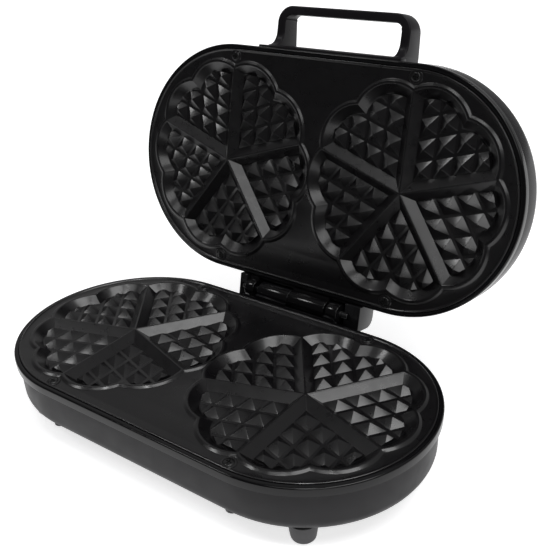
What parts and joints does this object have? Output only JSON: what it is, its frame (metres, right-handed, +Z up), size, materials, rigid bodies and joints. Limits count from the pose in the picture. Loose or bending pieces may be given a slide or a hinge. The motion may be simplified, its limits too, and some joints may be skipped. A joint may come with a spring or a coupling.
{
  "type": "waffle maker",
  "caption": "Electric double heart waffle maker: stadium-shaped base and hinged lid standing open, each with a cast plate of two heart rosettes.",
  "frame": {"origin": "on the table, under the centre of the object's box with the lid open", "axes": "+Z up, +X along the long side towards the right seen from the front, -Y towards the front"},
  "size_m": [0.3354, 0.2788, 0.2641],
  "materials": {
    "shell_plastic": "fine satin texture, dark charcoal grey",
    "lid_plastic": "semi-gloss, dark charcoal grey",
    "black_plastic": "glossy black",
    "handle_plastic": "semi-gloss black",
    "nonstick_plate": "dark non-stick coating, semi-gloss",
    "heater_steel": "heat-darkened steel",
    "reflector_sheet": "bright sheet",
    "cover_metal": "black powder coat",
    "ceramic": "unglazed off-white",
    "wire_insulation": "matt red-brown sleeve",
    "foot_rubber": "matt dark grey",
    "pin_steel": "blackened",
    "screw_steel": "zinc plated",
    "plate_screw_steel": "blackened",
    "red_lens": "clear red",
    "green_lens": "clear green"
  },
  "bodies": {
    "base": {"base_shell": "shell_plastic", "base_bottom_cover": "cover_metal", "base_bezel": "black_plastic", "lower_waffle_plate": "nonstick_plate", "lower_heater": "heater_steel", "lower_reflector": "reflector_sheet", "thermostat": "ceramic", "thermal_fuse": "screw_steel", "terminal_block": "ceramic", "supply_wires": "wire_insulation", "cord_gland": "black_plastic", "base_hinge_bracket": "black_plastic", "hinge_pin": "pin_steel", "foot_front_left": "foot_rubber", "foot_front_right": "foot_rubber", "foot_rear_left": "foot_rubber", "foot_rear_right": "foot_rubber", "lower_plate_screw_front_left": "plate_screw_steel", "lower_plate_screw_front_right": "plate_screw_steel", "lower_plate_screw_rear_left": "plate_screw_steel", "lower_plate_screw_rear_right": "plate_screw_steel", "cover_screw_front_left": "screw_steel", "cover_screw_front_right": "screw_steel", "cover_screw_rear_left": "screw_steel", "cover_screw_rear_right": "screw_steel"},
    "lid": {"lid_shell": "lid_plastic", "lid_bezel": "black_plastic", "upper_waffle_plate": "nonstick_plate", "upper_heater": "heater_steel", "upper_reflector": "reflector_sheet", "lid_wires": "wire_insulation", "handle": "handle_plastic", "lid_hinge_bracket": "black_plastic", "lid_hinge_housing": "black_plastic", "power_lamp_lens": "red_lens", "ready_lamp_lens": "green_lens", "handle_screw_left": "screw_steel", "handle_screw_right": "screw_steel", "upper_plate_screw_front_left": "plate_screw_steel", "upper_plate_screw_front_right": "plate_screw_steel", "upper_plate_screw_rear_left": "plate_screw_steel", "upper_plate_screw_rear_right": "plate_screw_steel"}
  },
  "joints": [
    {"name": "lid_hinge", "type": "hinge", "parent": "base", "child": "lid", "pos_m": [0, 0.05021, 0.0539], "axis": [1, 0, 0], "range_deg": [0, 103]}
  ]
}
